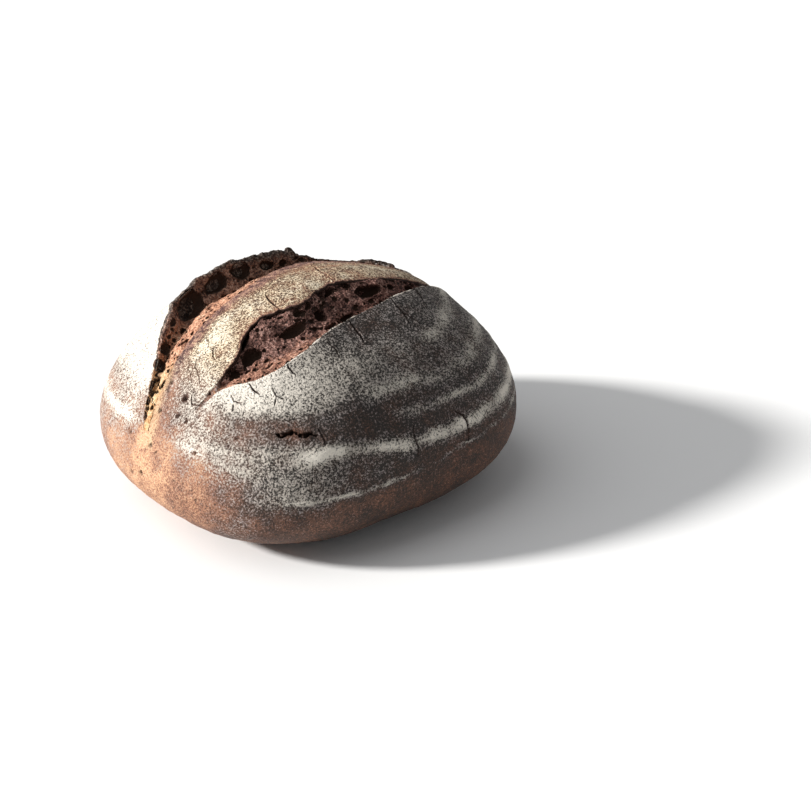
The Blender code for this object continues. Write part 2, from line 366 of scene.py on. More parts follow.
# ---------------------------------------------------------------- the crust's marks
# Cracks seen from above, each as (half width, depth, points), with points from the dome's middle.
TOP_CRACKS = [
    (0.5, 1.6, [(-26.5, -11), (-26, -5), (-24.5, 2), (-23, 6)]),
    (0.5, 1.5, [(16.5, -7), (17.5, 2), (18, 9), (20.5, 16), (22, 21)]),
    (0.55, 1.8, [(1.5, -38), (1.2, -43), (1.6, -48), (0.8, -53)]),
    (0.6, 2.0, [(37.5, -32), (37, -38), (37.5, -44), (36, -52)]),
    (0.5, 1.4, [(37.3, -42), (40, -47), (42, -50)]),
    (0.6, 1.6, [(60.5, -26), (60, -32), (58.5, -39)]),
    (0.4, 1.0, [(-48.5, -46), (-49, -50), (-48, -54)]),
    (0.4, 1.2, [(-69.5, -41), (-70, -45), (-69, -49)]),
    (0.28, 0.6, [(-79, -37), (-80, -41), (-78, -45)]),
    (0.28, 0.6, [(-80, -41), (-83.5, -44)]),
    (0.28, 0.6, [(-62, -51), (-63, -56), (-60.5, -60)]),
    (0.28, 0.6, [(-63, -56), (-66.5, -59)]),
    (0.35, 0.9, [(-90, -16), (-93, -20), (-91, -26)]),
    (0.35, 0.8, [(-21, -47), (-19, -52), (-20, -57)]),
    (0.3, 0.7, [(-75.5, 0), (-79, -4), (-80.9, -9), (-82, -12), (-84.5, -15.5)]),
    (0.25, 0.5, [(-79, -4), (-83, -5), (-85, -8)]),
    (0.3, 0.7, [(-66.5, -4), (-70.5, -9), (-71.5, -14)]),
    (0.25, 0.5, [(-76.5, 7), (-78.5, 2), (-81.5, 0), (-82, -4)]),
    (0.25, 0.5, [(-64, 7), (-64.5, 3), (-67.5, -1)]),
]
# Cracks low on the side, with points as (bearing, height).
SIDE_CRACKS = [
    (0.45, 1.3, [(-2.6, 70), (-3.4, 65), (-2.8, 60), (-3.6, 55)]),
    (0.7, 1.9, [(15.6, 69), (17.4, 66.5), (18.2, 62), (17.6, 56), (16.6, 52)]),
    (0.4, 1.0, [(-34.5, 80), (-33.2, 76), (-32.8, 73)]),
]
# The ragged tear on the front, as (bearing, height).
TEAR = [(-46.4, 79.8), (-44.9, 77.9), (-42.9, 79.6), (-41.0, 79.8), (-39.8, 78.2), (-38.3, 78.1), (-37.1, 78.8),
        (-35.2, 77.6)]
TEAR_HALF_WIDTH = 1.2
TEAR_DEPTH = 4.2
# Pits on the left end, as (bearing, height, half width).
PITS = [(-92, 74, 1.0), (-77.9, 77, 1.3), (-74.1, 76.4, 1.0), (-78.5, 84.4, 1.9), (-86.1, 75.1, 1.2),
        (-88.5, 87, 1.3), (-87, 83.5, 1.0), (-84.5, 58, 1.2), (-81.5, 56.5, 0.8),
        (-87, 39.5, 1.5), (-92, 35.5, 1.2), (-94.5, 58, 1.1), (-68, 65, 0.9), (-57, 76, 0.9), (-59, 72, 0.8),
        (-70.5, 90, 1.0), (-98, 101, 0.9), (-104, 92, 0.8), (-110, 96, 0.9), (-73, 47, 0.7), (-66, 41, 0.7)]

# The low end of the back slash, and how far its golden crumb colours the crust beside it.
LOW_END = [(-111, -1), (-104, 3), (-96, 7.6), (-84, 12.5), (-72, 16)]
GOLDEN_REACH = 6.5
# How much more flour the thin edge of the front slash's lip holds.
LIP_FLOUR = 0.4

# Rings that the proofing basket left, each as (flour's strength, half width, [(bearing, height)]). A ring that runs
# on round the back has bearings past 180.
FLOUR_RINGS = [
    (0.24, 2.2, [(-80, 66), (-72, 65.5), (-62, 62.5), (-52, 61), (-45, 61)]),
    (0.18, 2.0, [(-74, 69.5), (-64, 69), (-54, 67.5), (-47, 67)]),
    (0.62, 3.8, [(-42, 66), (-35, 68), (-28, 68), (-15, 66), (0, 62.5), (13, 61), (25, 62), (40, 64), (60, 66),
                 (90, 66), (130, 64), (180, 62), (210, 61), (230, 61), (245, 62.5), (260, 65), (269, 67), (276, 68)]),
    (0.42, 1.3, [(-45, 46.5), (-30, 45.5), (-15, 46.5), (0, 48.5), (15, 51), (30, 53), (45, 54), (90, 52), (180, 48),
                 (225, 46)]),
    (0.4, 2.4, [(-12, 77.5), (5, 76), (15, 76.5), (30, 77), (45, 79), (60, 81), (90, 80), (130, 77), (180, 75),
                (240, 79)]),
    (0.36, 3.2, [(-20, 89), (0, 88), (15, 87), (30, 87), (45, 90), (60, 92), (90, 92), (130, 90), (180, 88),
                 (235, 91)]),
    (0.3, 2.4, [(20, 101), (40, 103), (60, 105), (90, 105), (130, 103), (180, 100), (230, 102)]),
]
RING_THINS_FROM = 180
# How thickly the flour lies between the rings: for each bearing, (height, share covered).
FLOUR_COVER = {
    -180: [(0, 0.02), (35, 0.12), (55, 0.4), (75, 0.55), (100, 0.75), (130, 0.8)],
    -120: [(0, 0.1), (30, 0.4), (50, 0.5), (66, 0.52), (76, 0.66), (86, 0.88), (110, 0.9), (130, 0.8)],
    -100: [(0, 0.05), (25, 0.2), (45, 0.35), (56, 0.5), (66, 0.56), (76, 0.7), (84, 0.88), (110, 0.9), (130, 0.8)],
    -86: [(0, 0), (25, 0.08), (45, 0.08), (58, 0.12), (68, 0.25), (80, 0.45), (95, 0.6), (130, 0.75)],
    -70: [(0, 0), (25, 0.05), (45, 0.12), (55, 0.32), (64, 0.55), (74, 0.64), (84, 0.68), (95, 0.85), (130, 0.8)],
    -56: [(0, 0.1), (18, 0.4), (30, 0.38), (40, 0.3), (52, 0.38), (60, 0.5), (70, 0.58), (77, 0.45), (83, 0.45),
          (89, 0.85), (98, 0.9), (112, 0.75), (130, 0.7)],
    -42: [(0, 0), (26, 0.08), (38, 0.25), (46, 0.58), (56, 0.55), (64, 0.52), (71, 0.62), (77, 0.3), (83, 0.35),
          (88, 0.7), (100, 0.78), (110, 0.6), (130, 0.5)],
    -20: [(0, 0), (40, 0.08), (46, 0.25), (54, 0.32), (62, 0.3), (72, 0.2), (79, 0.14), (85, 0.26), (91, 0.5),
          (101, 0.62), (110, 0.42), (130, 0.4)],
    0: [(0, 0), (45, 0.08), (56, 0.2), (66, 0.2), (72, 0.17), (82, 0.26), (92, 0.4), (102, 0.5), (111, 0.34), (130, 0.4)],
    25: [(0, 0), (50, 0.08), (60, 0.3), (70, 0.24), (82, 0.26), (93, 0.36), (104, 0.4), (112, 0.34), (130, 0.4)],
    50: [(0, 0), (42, 0.12), (60, 0.4), (75, 0.4), (90, 0.38), (105, 0.42), (130, 0.42)],
    90: [(0, 0), (40, 0.1), (60, 0.35), (80, 0.42), (105, 0.5), (130, 0.6)],
    180: [(0, 0.02), (35, 0.12), (55, 0.4), (75, 0.55), (100, 0.75), (130, 0.8)],
}
# How thickly the flour lies on the strip between the slashes, as (x, share covered).
STRIP_FLOUR = [(-100, 0.6), (-70, 0.68), (-45, 0.66), (-20, 0.6), (10, 0.56), (40, 0.54), (80, 0.5)]
# How darkly the crust baked, from golden at 0 to nearly black at 1: for each bearing, (height, darkness).
BAKE = {
    -180: [(0, 0.7), (30, 0.6), (60, 0.5), (90, 0.6), (130, 0.6)],
    -120: [(0, 0.45), (30, 0.35), (60, 0.35), (75, 0.42), (90, 0.45), (130, 0.5)],
    -90: [(0, 0.45), (25, 0.2), (50, 0.18), (66, 0.26), (80, 0.4), (130, 0.45)],
    -70: [(0, 0.6), (25, 0.42), (50, 0.38), (60, 0.34), (80, 0.45), (130, 0.45)],
    -58: [(0, 0.55), (25, 0.52), (50, 0.5), (60, 0.5), (80, 0.6), (95, 0.75), (130, 0.7)],
    -45: [(0, 0.75), (25, 0.66), (40, 0.7), (60, 0.9), (78, 0.7), (90, 0.95), (130, 0.9)],
    -20: [(0, 0.88), (25, 0.78), (40, 0.7), (52, 0.9), (70, 0.97), (130, 0.97)],
    15: [(0, 0.86), (25, 0.78), (45, 0.74), (60, 0.86), (75, 0.93), (130, 0.97)],
    60: [(0, 0.66), (30, 0.7), (60, 0.8), (80, 0.9), (130, 0.95)],
    120: [(0, 0.68), (30, 0.64), (60, 0.6), (90, 0.65), (130, 0.65)],
    180: [(0, 0.7), (30, 0.6), (60, 0.5), (90, 0.6), (130, 0.6)],
}


def field(stations, bearing, height):
    """A value that goes smoothly from each bearing's own curve up the side to the next one's."""
    bearings = sorted(stations)
    columns = [np.interp(height, *zip(*stations[b])) for b in bearings]
    total = np.zeros(len(height))
    for index in range(len(bearings) - 1):
        low, high = bearings[index], bearings[index + 1]
        share = ease((bearing - low) / (high - low))
        here = (bearing >= low) & (bearing < high + 1e-9)
        total = np.where(here, between(columns[index], columns[index + 1], share), total)
    return total


def crust_rows(along):
    """For each row of the crust: its around angle, its height off the skin, whether it is on the strip, how torn it
    is, and whether it is the front slash's lip."""
    front_lip = edge(FRONT_LIP, along)
    strip_front = edge(STRIP_FRONT, along)
    strip_back = edge(STRIP_BACK, along)
    ear_lip = edge(EAR_LIP, along)
    front_x = skin(along, between(front_lip, strip_front, 0.5))[:, 0] / MM
    back_x = skin(along, between(strip_back, ear_lip, 0.5))[:, 0] / MM
    front_open = ease((curve_through(FRONT_DEPTH, front_x) - 0.4) / 2.0)
    front_open = front_open * ease((front_x - FRONT_CLOSED_AT) / FRONT_OPENS_OVER)
    back_open = ease((curve_through(BACK_DEPTH, back_x) - 0.4) / 2.0)
    back_open = back_open * ease((back_x - BACK_CLOSED_AT) / BACK_OPENS_OVER)
    line = np.stack([front_x * MM, 0 * front_x, 0 * front_x], -1)
    front_lip = front_lip + RAGGED * 0.5 * front_open * lumps(line, 4 * MM, 31, 3)
    strip_front = strip_front + RAGGED * 2.4 * front_open * lumps(line, 4.5 * MM, 32, 3)
    strip_back = strip_back + RAGGED * 1.8 * back_open * lumps(line, 4 * MM, 33, 3)
    lip = curve_through(LIP_HEIGHT, front_x) * MM
    strip = curve_through(STRIP_HEIGHT, front_x) * MM
    ear = curve_through(EAR_HEIGHT, back_x) * MM * ease((back_x - BACK_CLOSED_AT) / BACK_OPENS_OVER)
    rows = []
    for step in range(UNDER_ROWS):
        rows.append((between(-math.pi, BELOW, step / UNDER_ROWS), 0 * lip, 0, 0, 0))
    for step in range(FLAP_ROWS):
        share = (step / (FLAP_ROWS - 1)) ** FLAP_CROWDING
        near = ease((share - 1 + LIP_SHARE) / LIP_SHARE)
        at_lip = front_open if step == FLAP_ROWS - 1 else 0
        rows.append((between(BELOW, front_lip, share), lip * near, 0, 0, at_lip))
    for index, (share, depth, _) in enumerate(FRONT_TRENCH):
        share = between((index + 1) / (len(FRONT_TRENCH) + 1), share, front_open)
        rows.append((between(front_lip, strip_front, share), -depth * MM * front_open, 0.5, front_open, 0))
    for step in range(STRIP_ROWS):
        share = step / (STRIP_ROWS - 1)
        dome = STRIP_EDGE_SHARE + (1 - STRIP_EDGE_SHARE) * math.sin(math.pi * share)
        torn = ease((share - 0.6) / 0.4) * back_open + 0.7 * ease((0.07 - share) / 0.07) * front_open
        rows.append((between(strip_front, strip_back, share), strip * dome, 1, torn, 0))
    for index, (share, depth, on_ear) in enumerate(BACK_TRENCH):
        share = between((index + 1) / (len(BACK_TRENCH) + 1), share, back_open)
        rows.append((between(strip_back, ear_lip, share), (ear * on_ear - depth * MM) * back_open, 0.5, back_open, 0))
    for step in range(BACK_ROWS):
        share = (step / BACK_ROWS) ** BACK_CROWDING
        cover = RIM_COVER * back_open * (1 - ease((share - 0.01) / 0.035))
        rows.append((between(ear_lip, math.pi, share), ear * (1 - ease(share / EAR_SHARE)) - cover, 0, 0, 0))
    turns, heights, on_strip, torn, at_lip = (np.array([row[i] + 0 * along for row in rows]) for i in range(5))
    even = np.linspace(-math.pi, math.pi, len(rows), endpoint=False)[:, None]
    past = ease((np.abs(along) - SLASH_END) / (math.pi / 2 - SLASH_END))
    return between(turns, even, past), heights, on_strip, torn, at_lip


def crack_lines():
    """Every crack as (half width, depth, points in the loaf's frame)."""
    lines = [(half_width, depth, on_skin(points)) for half_width, depth, points in TOP_CRACKS]
    return lines + [(half_width, depth, on_side(points)) for half_width, depth, points in SIDE_CRACKS]


def refine_near(bm, lines, distance):
    """Divides the edges near the given lines, so that the cracks come out crisp."""
    places, _ = read_verts(bm)
    near = np.zeros(len(places), bool)
    for line in lines:
        near |= from_line(places, line)[0] < distance
    chosen = set(np.nonzero(near)[0])
    edges = [e for e in bm.edges if e.verts[0].index in chosen and e.verts[1].index in chosen]
    bmesh.ops.subdivide_edges(bm, edges=edges, cuts=2, use_grid_fill=True)
    bm.verts.index_update()
    bm.normal_update()


def make_crust(material):
    """The whole loaf's crust as one closed shell, with its rings, blisters, cracks, pits and tear."""
    along = math.pi * (np.arange(RINGS + 1) / RINGS - 0.5)
    turns, heights, on_strip, torn, at_lip = crust_rows(along)
    places = skin(along, turns) + outward(along, turns) * heights[..., None] + CENTRE
    in_trench = (on_strip == 0.5) * np.clip(-heights / MM, 0, 1) * ease((torn - 0.2) / 0.3)
    lift = np.where(on_strip == 0.5, 0, heights)
    torn = np.where(on_strip == 0.5, 0, torn)
    bm = tube(RINGS, len(turns), places, {"strip": on_strip, "torn": torn, "hidden": in_trench, "lift": lift,
                                          "lip": at_lip})
    cracks = crack_lines()
    tear = on_side(TEAR)
    refine_near(bm, [line for _, _, line in cracks] + [tear], 3.4 * MM)
    places, normals = read_verts(bm)
    strip = read_layer(bm, "strip")
    torn = read_layer(bm, "torn")
    level = places - normals * read_layer(bm, "lift")[:, None]
    shown = 1 - read_layer(bm, "hidden")
    bearing = bearing_of(places)
    height = places[:, 2] / MM
    wobble = lumps(places, 30 * MM, 1, 2)
    ripple = lumps(places, 9 * MM, 2, 2)

    patchy = lumps(places, 16 * MM, 8, 3)
    flour = field(FLOUR_COVER, bearing, height)
    ridge = np.zeros(len(places))
    for strength, half_width, ring in FLOUR_RINGS:
        bearings, levels = zip(*ring)
        turned = np.where(bearing < bearings[0] - 12, bearing + 360, bearing)
        off = np.abs(height + 1.8 * wobble + 0.8 * ripple - np.interp(turned, bearings, levels))
        ends = ease((turned - bearings[0] + 1) / 10) * ease((bearings[-1] - turned + 1) / 10)
        ends = ends * (1 - 0.4 * ease((turned - RING_THINS_FROM) / 60))
        band = strength * ends * np.exp(-(off / half_width) ** 2) * (1 + 0.6 * patchy)
        flour = flour + band * (1 - 0.4 * flour)
        ridge = ridge + ends * np.exp(-(off / (half_width + 0.6)) ** 2)
    bake = field(BAKE, bearing, height)
    x = (places[:, 0] - CENTRE[0]) / MM
    on_top = np.clip((strip - 0.6) / 0.3, 0, 1) * ease((x + 96) / 30) * (1 - ease((x - 82) / 22))
    flour = between(flour, np.interp(x, *zip(*STRIP_FLOUR)) + 0.22 * patchy - 0.5 * torn, on_top)
    bake = between(bake, 0.5 + 0.2 * patchy, on_top)

    away, _ = from_line(level, on_skin(LOW_END))
    golden = np.exp(-(away / MM / (GOLDEN_REACH * (1 + 0.5 * patchy))) ** 2) * ease((-72 - x) / 22)
    flour = flour * (1 - 0.45 * golden) * (1 - 0.5 * np.clip(1 - 2 * np.abs(strip - 0.5), 0, 1) * ease((x + 96) / 8))

    pale_edge = read_layer(bm, "lip") * np.clip(0.7 + 1.6 * ripple, 0, 1)
    flour = flour + LIP_FLOUR * pale_edge
    bake = bake * (1 - 0.6 * pale_edge)

    base = ease(height / 6)
    push = 0.35 * ridge * (1 - on_top) + 0.55 * wobble + 0.28 * ripple
    push = push + 0.16 * lumps(places, 3.2 * MM, 3, 2)
    blister = cells(places, 7 * MM, 4)
    push = push + 0.3 * np.clip(0.42 - blister, 0, 1) / 0.42 * (lumps(places, 22 * MM, 5) > 0.1)
    push = push - 0.5
    # Painted shade: the mask below marks the cracks, tear and pits, whose colour is darkened towards near black; it
    # also keeps the flour out of them.
    recess_shade = np.zeros(len(places))
    jitter = np.stack([lumps(places, 2.2 * MM, seed, 2) for seed in (6, 61, 62)], -1)
    for half_width, depth, line in cracks:
        away, share = from_line(level + 0.3 * MM * jitter, line)
        thin = half_width * (0.35 + 0.65 * np.sin(math.pi * np.clip(share, 0.12, 0.88)))
        groove = np.clip(1 - (away / MM / (thin * 1.6)) ** 2, 0, 1)
        push = push - depth * groove + 0.25 * np.exp(-((away / MM - 2.2 * thin) / 0.8) ** 2)
        recess_shade = np.maximum(recess_shade, np.clip(1.2 - away / MM / (thin * 1.4), 0, 1) * min(1, half_width / 0.45))
    away, share = from_line(level + 1.1 * MM * jitter, tear)
    width = TEAR_HALF_WIDTH * (0.25 + 0.75 * np.abs(np.sin(2 * math.pi * np.clip(share, 0.04, 0.96))) ** 0.6) * (1 + 0.5 * jitter[:, 0])
    below = on_side([(b, h) for b, h in TEAR])
    under = places[:, 2] - np.interp(bearing, [b for b, h in TEAR], below[:, 2])
    push = push - TEAR_DEPTH * np.clip(1 - (away / MM / width) ** 2, 0, 1) ** 0.7
    lower = np.exp(-((under / MM + 2.2) / 1.1) ** 2) * (away < 4 * MM) * np.clip(1 - np.abs(2 * share - 1) ** 4, 0, 1)
    push = push + 0.7 * lower
    recess_shade = np.maximum(recess_shade, np.clip(1.3 - away / MM / width, 0, 1))
    for pit_bearing, pit_height, half_width in PITS:
        middle = on_side([(pit_bearing, pit_height)])[0]
        away = np.linalg.norm(places - middle, axis=1) / MM
        push = push - 1.6 * half_width * np.clip(1 - (away / (half_width * 1.15)) ** 2, 0, 1)
        recess_shade = np.maximum(recess_shade, np.clip(1.5 - away / half_width, 0, 1))
    places = places + normals * (push * MM * base * shown)[:, None]
    write_verts(bm, places)

    write_layer(bm, "flour", np.clip(flour, 0, 1) * (1 - recess_shade) * shown)
    write_layer(bm, "toasted", on_top)
    write_layer(bm, "golden", golden)
    write_layer(bm, "bake", np.clip(bake + 0.1 * wobble + 0.07 * ripple, 0, 1))
    write_layer(bm, "recess_shade", recess_shade)
    crust = finish_piece(bm, "crust", material)
    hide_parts("loaf")
    return crust


# ---------------------------------------------------------------- the torn crumb
# Bubbles torn open, as (x, share through the section, length, width, depth); the length runs along the slash.
BACK_BUBBLES = [(-105.7, 0.7, 4.4, 2.6, 1.6), (-101.5, 0.74, 5, 3, 1.8), (-96.3, 0.72, 6.6, 3.8, 2.6),
                (-86.3, 0.57, 8, 8, 5), (-77.6, 0.56, 7.4, 7, 5), (-58.4, 0.45, 4.6, 3.8, 3), (-67.2, 0.48, 3, 2, 1.8),
                (-70.3, 0.55, 2.8, 2.4, 1.8), (-67, 0.57, 2.4, 2.2, 1.6), (-72.5, 0.49, 2, 1.8, 1.5),
                (-64, 0.6, 5, 4, 2.5), (-44.7, 0.535, 18.5, 16, 9), (-23.3, 0.56, 15, 11, 8), (-5, 0.57, 14, 9, 7),
                (13, 0.56, 8, 6, 6), (24, 0.56, 5, 4, 4)]
FRONT_BUBBLES = [(-54.5, 0.61, 15, 9, 7), (-69, 0.7, 6, 7, 5), (-49, 0.91, 25, 6, 6), (-26, 0.56, 19, 6.5, 6),
                 (-5.1, 0.58, 9, 7, 7), (6.9, 0.84, 13, 8, 7), (33.8, 0.66, 16, 8.5, 8), (52.6, 0.68, 6, 4, 4),
                 (-10.3, 0.84, 5, 4, 4), (10.2, 0.36, 12, 3.4, 4.5), (-4.6, 0.34, 11, 3, 4), (66, 0.6, 7, 4, 4),
                 (-18, 0.78, 7, 4, 4), (22, 0.84, 6, 4, 4), (-62, 0.5, 4, 3, 3)]
# Lumps of crumb that stand up, as (x, share through the section, half width, height).
FRONT_LUMPS = [(-41, 0.78, 7, 3.2), (-34, 0.72, 5, 2.2), (-47, 0.8, 4, 1.6), (-60, 0.2, 9, 1.4), (0, 0.45, 3.4, 1.8),
               (8, 0.46, 3.6, 2.0), (17, 0.46, 3.6, 2.0), (26, 0.46, 3.4, 1.6), (14, 0.64, 4, 1.2), (45, 0.68, 5, 1.6)]
BELLY = math.radians(98)
# The share through the back section at which the ear's rim ends, and the way its bubbles open: up and to the front left.
EAR_FRONT = 0.87
BUBBLES_FACE = np.array([-0.55, -0.7, 0.45])


def section_at(stations, x, through):
    """Every row's share of the width, of the depth and of the ear's height at each x, each as [rows, rings]."""
    keys = sorted(stations)
    at = np.linspace(0, 1, len(stations[keys[0]]))
    found = []
    for part in range(3):
        curves = [curve_through([(a, entry[part]) for a, entry in zip(at, stations[key])], through) for key in keys]
        found.append(np.array([np.interp(x, keys, column) for column in np.array(curves).T]))
    return found


def crumb_places(along, front, back, stations, depth, ear, ends):
    """Places on a slash's smooth section, [rows, rings, 3], and each row's share through the section."""
    through = np.linspace(0, 1, CRUMB_ROWS)
    x = skin(along, between(front, back, 0.5))[:, 0] / MM
    share, floor, rise = section_at(stations, x, through)
    turns = between(front, back, share)
    places = skin(along, turns) + outward(along, turns) * (depth * floor + ear * rise)[..., None]
    under = between(front, back, np.linspace(share[-1], share[0], CRUMB_UNDER_ROWS + 2)[1:-1])
    below = skin(along, under) - outward(along, under) * (depth + CRUMB_THICKNESS * ends)[:, None]
    return np.concatenate([places, below]) + CENTRE, through


def grid_normals(places):
    """The outward direction at each place of a grid of rows and rings."""
    across = np.gradient(places, axis=0)
    forward = np.gradient(places, axis=1)
    normal = np.cross(forward, across)
    return normal / np.maximum(np.linalg.norm(normal, axis=-1, keepdims=True), 1e-9)


def rim_height(ear_along, x):
    """The height of the ear's ragged rim at each x."""
    line = np.stack([x * MM, 0 * x, 0 * x], -1)
    height = curve_through(ear_along, x)
    ragged = 0.8 * lumps(line, 8 * MM, 41, 2) + 0.7 * lumps(line, 2.6 * MM, 42, 2)
    for peak_x, half_width, peak in RIM_PEAKS:
        ragged = ragged + peak * np.exp(-((x - peak_x) / half_width) ** 2)
    return (height + ragged * ease(height / 2)) * MM


def place_of(places, x, through):
    """The row and ring of the place at x, a share of the way through the section."""
    row = round(through * (CRUMB_ROWS - 1))
    return row, int(np.argmin(np.abs(places[row, :, 0] - CENTRE[0] - x * MM)))


def blow_bubble(places, hollow_shade, middle, out, along, length, width, depth, rows):
    """Turns the surface round middle into a round hollow, among the rows up to the given one, and records how deep
    inside it each place lies, for the shade painted there.
    """
    across = np.cross(out, along)
    rel = places - middle
    a = rel @ along / (length / 2)
    b = rel @ across / (width / 2)
    off = rel @ out
    away = np.hypot(a, b)
    turn = np.arctan2(b, a)
    seed = middle[0] * 900
    away = away * (1 + 0.1 * np.sin(2 * turn + seed) + 0.07 * np.sin(3 * turn + 2 * seed) + 0.04 * np.sin(7 * turn + 3 * seed))
    inside = (away < 1) & (np.abs(off) < 0.8 * max(length, width) + 2 * MM)
    angle = away * BELLY
    spread = np.sin(angle) / math.sin(BELLY) / np.maximum(away, 1e-6)
    sink = (np.cos(angle) - math.cos(BELLY)) / (1 - math.cos(BELLY))
    moved = middle + along * (a * length / 2 * spread)[..., None] + across * (b * width / 2 * spread)[..., None]
    moved = moved + out * (off * ease(away) - depth * sink)[..., None]
    inside[rows:] = False
    hollow_shade[inside] = np.maximum(hollow_shade[inside], np.clip((1 - away[inside]) * 2.5, 0, 1))
    return np.where(inside[..., None], moved, places)


def make_crumb(name, lips, section, depth_along, ear_along, span, bubbles, bulges, small, seed, material):
    """One slash's torn crumb, a closed body that reaches under the crust on both sides."""
    ends, _ = angles_above(np.array(span, float) * MM, np.array([lips[0][0][1], lips[0][-1][1]], float) * MM)
    along = np.linspace(ends[0], ends[1], CRUMB_RINGS + 1)
    front, back = edge(lips[0], along), edge(lips[1], along)
    x = skin(along, between(front, back, 0.5))[:, 0] / MM
    fade = ease((x - x[0]) / 7) * ease((x[-1] - x) / 7)
    depth = (curve_through(depth_along, x) * MM + 0.5 * MM) * np.maximum(fade, 0.02)
    ear = rim_height(ear_along, x) * fade if ear_along else 0 * x
    places, through = crumb_places(along, front, back, section, depth, ear, fade)
    shown = places[:CRUMB_ROWS]
    normals = grid_normals(shown)
    flat = shown.reshape(-1, 3)
    torn = np.repeat(ease(through / 0.04) * ease((1 - through) / 0.04), len(along)).reshape(shown.shape[:2])
    torn = torn * fade
    heave = 1.5 * lumps(flat, 11 * MM, seed, 3).reshape(torn.shape)
    heave = heave * (1 - 0.75 * ease((through - 0.72) / 0.1))[:, None] if ear_along else heave
    for bulge_x, at, half_width, height in bulges:
        middle = shown[place_of(shown, bulge_x, at)]
        away = np.linalg.norm(shown - middle, axis=-1) / MM
        heave = heave + height * np.exp(-(away / half_width) ** 2)
    shown = shown + normals * (heave * torn * MM)[..., None]
    # How far inside a torn bubble each place lies; the crumb's colour paints shade there.
    hollow_shade = np.zeros(torn.shape)
    rows = int(EAR_FRONT * CRUMB_ROWS) if ear_along else CRUMB_ROWS
    normals = grid_normals(shown)
    for bubble_x, at, length, width, deep in bubbles:
        row, ring = place_of(shown, bubble_x, at)
        out = normals[row, ring] * (0.35 if ear_along else 1) + BUBBLES_FACE * (1 if ear_along else 0.3)
        out = out / np.linalg.norm(out)
        forward = shown[row, min(ring + 3, CRUMB_RINGS)] - shown[row, max(ring - 3, 0)]
        forward = forward - out * (forward @ out)
        forward = forward / np.linalg.norm(forward)
        shown = blow_bubble(shown, hollow_shade, shown[row, ring].copy(), out, forward, length * MM, width * MM, deep * MM,
                            rows)
    draw = np.random.default_rng(seed)
    for _ in range(small):
        row = int(draw.uniform(0.08, 0.6 if ear_along else 0.92) * CRUMB_ROWS)
        ring = int(draw.uniform(0.03, 0.97) * CRUMB_RINGS)
        size = draw.uniform(0.9, 1.0) * 1.1 / draw.uniform(0.25, 1) ** 0.8 * MM
        stretch = draw.uniform(0.8, 1.8)
        if hollow_shade[row, ring] > 0:
            continue
        out = normals[row, ring]
        forward = shown[row, min(ring + 3, CRUMB_RINGS)] - shown[row, max(ring - 3, 0)]
        forward = forward - out * (forward @ out)
        forward = forward / max(np.linalg.norm(forward), 1e-9)
        shown = blow_bubble(shown, hollow_shade, shown[row, ring].copy(), out, forward, size * stretch, size, size * 0.8, rows)
    normals = grid_normals(shown)
    flat = shown.reshape(-1, 3)
    rough = 0.34 * lumps(flat, 2.6 * MM, seed + 1, 3) + 0.3 * walls(flat, 2.4 * MM, seed + 2) - 0.25
    rough = rough.reshape(torn.shape) * (1 - hollow_shade)
    shown = shown + normals * (rough * torn * MM)[..., None]
    places[:CRUMB_ROWS] = shown
    places[:, 0] = places[:, 0].mean(0)
    places[:, -1] = places[:, -1].mean(0)
    ones = np.ones(len(places) - CRUMB_ROWS)
    through = np.concatenate([through, ones])[:, None] + 0 * x
    hollow_shade = np.concatenate([hollow_shade, np.zeros((len(ones), len(along)))])
    golden = 1 - ease((x + 100) / 60) + 0 * through
    scorch = ease((x + 40) / 50) + 0 * through
    bm = tube(CRUMB_RINGS, len(places), places, {"through": through, "hollow_shade": hollow_shade, "golden": golden,
                                            "scorch": scorch})
    write_verts(bm, read_verts(bm)[0])
    piece = finish_piece(bm, name, material)
    return piece


# ---------------------------------------------------------------- materials


def colour(code):
    """The linear colour of an sRGB hex code."""
    parts = [int(code[i:i + 2], 16) / 255 for i in (1, 3, 5)]
    return [p / 12.92 if p <= 0.04045 else ((p + 0.055) / 1.055) ** 2.4 for p in parts] + [1]


def add_node(tree, kind, inputs=None, **settings):
    """Adds a node with its settings. Each input is given a value, or linked to another node's output."""
    node = tree.nodes.new(kind)
    for name, value in settings.items():
        setattr(node, name, value)
    for name, value in (inputs or {}).items():
        if isinstance(value, bpy.types.NodeSocket):
            tree.links.new(value, node.inputs[name])
        else:
            node.inputs[name].default_value = value
    return node


def new_material(name):
    """An empty node material and its shader."""
    material = bpy.data.materials.new(name)
    material.use_nodes = True
    return material.node_tree, material.node_tree.nodes["Principled BSDF"], material


def ramp(tree, factor, stops):
    """A colour ramp read at a factor, with stops as (place, hex code)."""
    node = add_node(tree, "ShaderNodeValToRGB", {"Fac": factor})
    elements = node.color_ramp.elements
    while len(elements) < len(stops):
        elements.new(0.5)
    for element, (place, code) in zip(elements, stops):
        element.position = place
        element.color = colour(code)
    return node.outputs["Color"]


def maths(tree, operation, a, b=0.0, c=0.0, clamp=False):
    """One step of arithmetic."""
    return add_node(tree, "ShaderNodeMath", {0: a, 1: b, 2: c}, operation=operation, use_clamp=clamp).outputs[0]


def smooth_step(tree, value, low, high):
    """0 below low and 1 above high, with a smooth rise between them."""
    node = add_node(tree, "ShaderNodeMapRange", {"Value": value, "From Min": low, "From Max": high},
                    interpolation_type="SMOOTHSTEP")
    return node.outputs["Result"]


def mix(tree, factor, a, b, blend="MIX"):
    """Two colours mixed."""
    node = add_node(tree, "ShaderNodeMix", {0: factor, 6: a, 7: b}, data_type="RGBA", blend_type=blend)
    return node.outputs[2]


